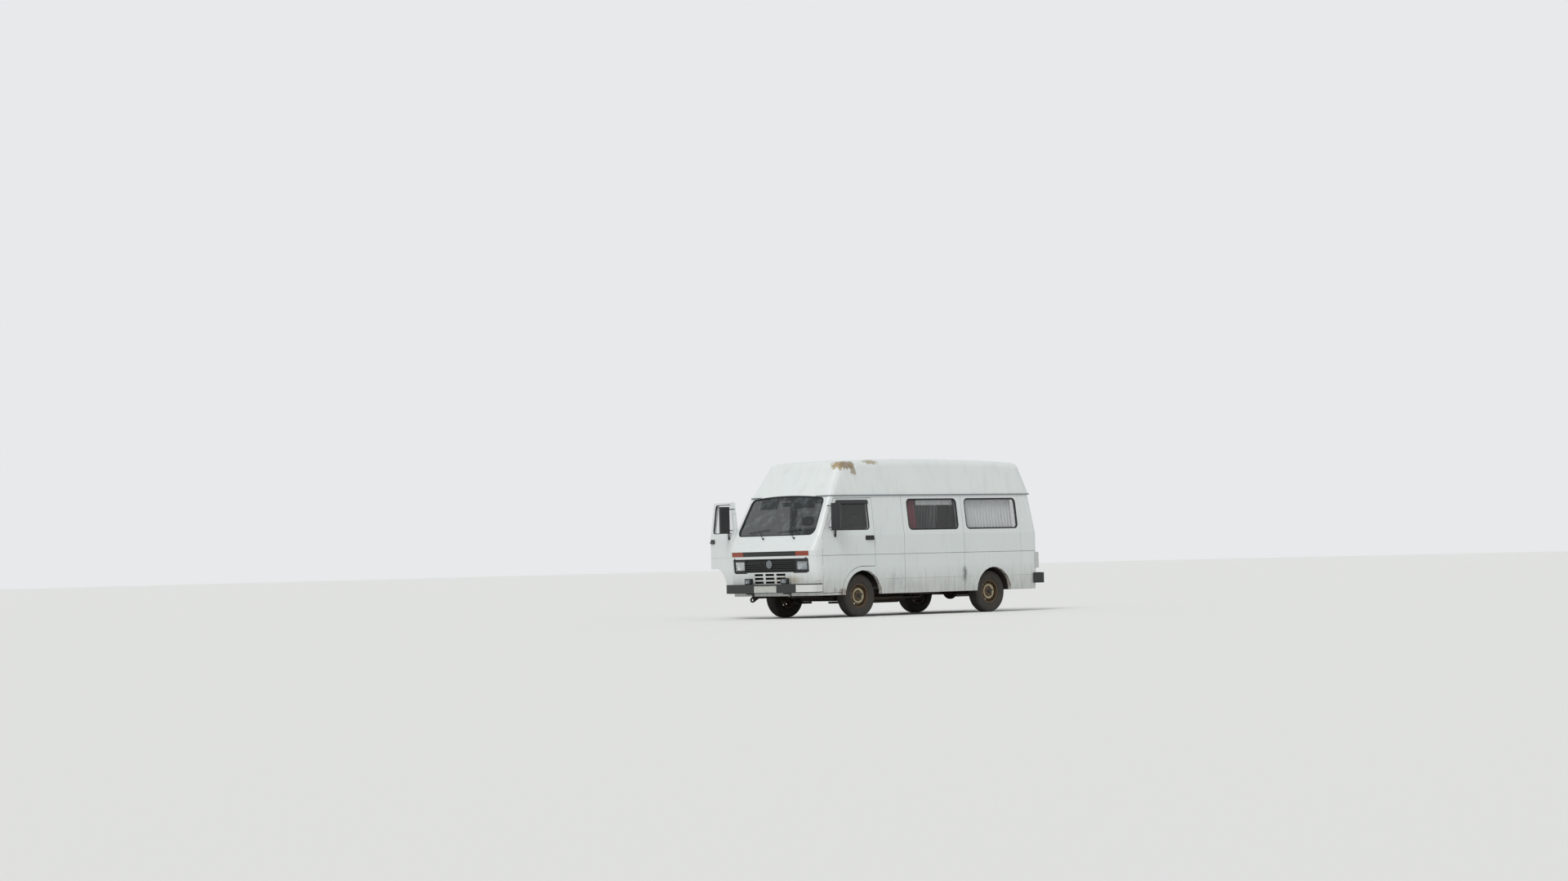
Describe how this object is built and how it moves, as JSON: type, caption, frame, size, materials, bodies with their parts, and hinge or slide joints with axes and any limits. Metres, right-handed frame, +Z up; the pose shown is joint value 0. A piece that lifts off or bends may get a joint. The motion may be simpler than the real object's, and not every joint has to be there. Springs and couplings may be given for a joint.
{
  "type": "high-roof camper van",
  "caption": "Forward-control camper van with a tall moulded roof, hinged cab and rear doors, steered front wheels and a sliding side door; right cab door stands open.",
  "frame": {"origin": "on the floor, on the centreline, straight below the front axle", "axes": "+X forward, +Y to the left of the vehicle, +Z up"},
  "size_m": [5.36, 3.2793, 2.5149],
  "materials": {
    "white_paint": "gloss, dusty",
    "roof_gelcoat": "weathered satin",
    "window_glass": "smooth",
    "black_plastic": "satin, dusty",
    "lamp_glass": "fluted",
    "amber_lens": "smooth",
    "red_lens": "smooth",
    "chassis_paint": "dull, dirty",
    "cast_metal": "rough",
    "bare_steel": "dull",
    "tyre_rubber": "dusty",
    "wheel_enamel": "dusty satin",
    "seat_cloth": "woven",
    "curtain_cloth": "woven",
    "dash_plastic": "grained",
    "floor_paint": "dull"
  },
  "bodies": {
    "root": {"nose_panel": "white_paint", "cab_frame": "white_paint", "side_wall_left": "white_paint", "side_wall_right": "white_paint", "sliding_door": "white_paint", "rear_frame": "white_paint", "high_roof": "roof_gelcoat", "windscreen": "window_glass", "side_windows": "window_glass", "grille": "black_plastic", "headlamps": "lamp_glass", "turn_signals": "amber_lens", "wipers": "black_plastic", "tow_eyes": "chassis_paint", "cab_floor": "floor_paint", "wheel_housings": "chassis_paint", "front_bumper": "white_paint", "fog_lamps": "black_plastic", "rear_bumper": "black_plastic", "tail_lamps": "red_lens", "chassis_frame": "chassis_paint", "floor_pan": "floor_paint", "front_axle": "chassis_paint", "rear_axle": "cast_metal", "engine": "cast_metal", "drive_shaft": "chassis_paint", "fuel_tank": "chassis_paint", "exhaust": "bare_steel", "cab_seats": "seat_cloth", "seat_bases": "chassis_paint", "dashboard": "dash_plastic", "steering_wheel": "dash_plastic", "curtains": "curtain_cloth"},
    "steering_left": {"knuckle_left": "cast_metal"},
    "steering_right": {"knuckle_right": "cast_metal"},
    "door_left": {"door_front_left": "white_paint", "door_glass_left": "window_glass", "mirror_left": "black_plastic"},
    "door_right": {"door_front_right": "white_paint", "door_glass_right": "window_glass", "mirror_right": "black_plastic"},
    "rear_door_left": {"rear_door_left": "white_paint", "rear_glass_left": "window_glass"},
    "rear_door_right": {"rear_door_right": "white_paint", "rear_glass_right": "window_glass"},
    "wheel_front_left": {"rim_front_left": "wheel_enamel", "tyre_front_left": "tyre_rubber"},
    "wheel_front_right": {"rim_front_right": "wheel_enamel", "tyre_front_right": "tyre_rubber"},
    "wheel_rear_left": {"rim_rear_left": "wheel_enamel", "tyre_rear_left": "tyre_rubber"},
    "wheel_rear_right": {"rim_rear_right": "wheel_enamel", "tyre_rear_right": "tyre_rubber"}
  },
  "joints": [
    {"name": "steer_left", "type": "hinge", "parent": "root", "child": "steering_left", "pos_m": [0, 0.76, 0.335], "axis": [0, 0, 1], "range_deg": [-35, 35]},
    {"name": "steer_right", "type": "hinge", "parent": "root", "child": "steering_right", "pos_m": [0, -0.76, 0.335], "axis": [0, 0, 1], "range_deg": [-35, 35]},
    {"name": "roll_front_left", "type": "hinge", "parent": "steering_left", "child": "wheel_front_left", "pos_m": [0, 0.827, 0.335], "axis": [0, 1, 0], "continuous": true},
    {"name": "roll_front_right", "type": "hinge", "parent": "steering_right", "child": "wheel_front_right", "pos_m": [0, -0.827, 0.335], "axis": [0, 1, 0], "continuous": true},
    {"name": "roll_rear_left", "type": "hinge", "parent": "root", "child": "wheel_rear_left", "pos_m": [-2.95, 0.827, 0.335], "axis": [0, 1, 0], "continuous": true},
    {"name": "roll_rear_right", "type": "hinge", "parent": "root", "child": "wheel_rear_right", "pos_m": [-2.95, -0.827, 0.335], "axis": [0, 1, 0], "continuous": true},
    {"name": "door_left_hinge", "type": "hinge", "parent": "root", "child": "door_left", "pos_m": [0.868, 1.01, 0.9], "axis": [0, 0, -1], "range_deg": [0, 75]},
    {"name": "door_right_hinge", "type": "hinge", "parent": "root", "child": "door_right", "pos_m": [0.868, -1.01, 0.9], "axis": [0, 0, 1], "range_deg": [-69, 6]},
    {"name": "rear_door_left_hinge", "type": "hinge", "parent": "root", "child": "rear_door_left", "pos_m": [-4.002, 0.92, 1], "axis": [0, 0, -1], "range_deg": [0, 95]},
    {"name": "rear_door_right_hinge", "type": "hinge", "parent": "root", "child": "rear_door_right", "pos_m": [-4.002, -0.92, 1], "axis": [0, 0, 1], "range_deg": [0, 95]}
  ],
  "couplings": [
    {"joint": "steer_right", "follows": "steer_left", "ratio": 1}
  ]
}
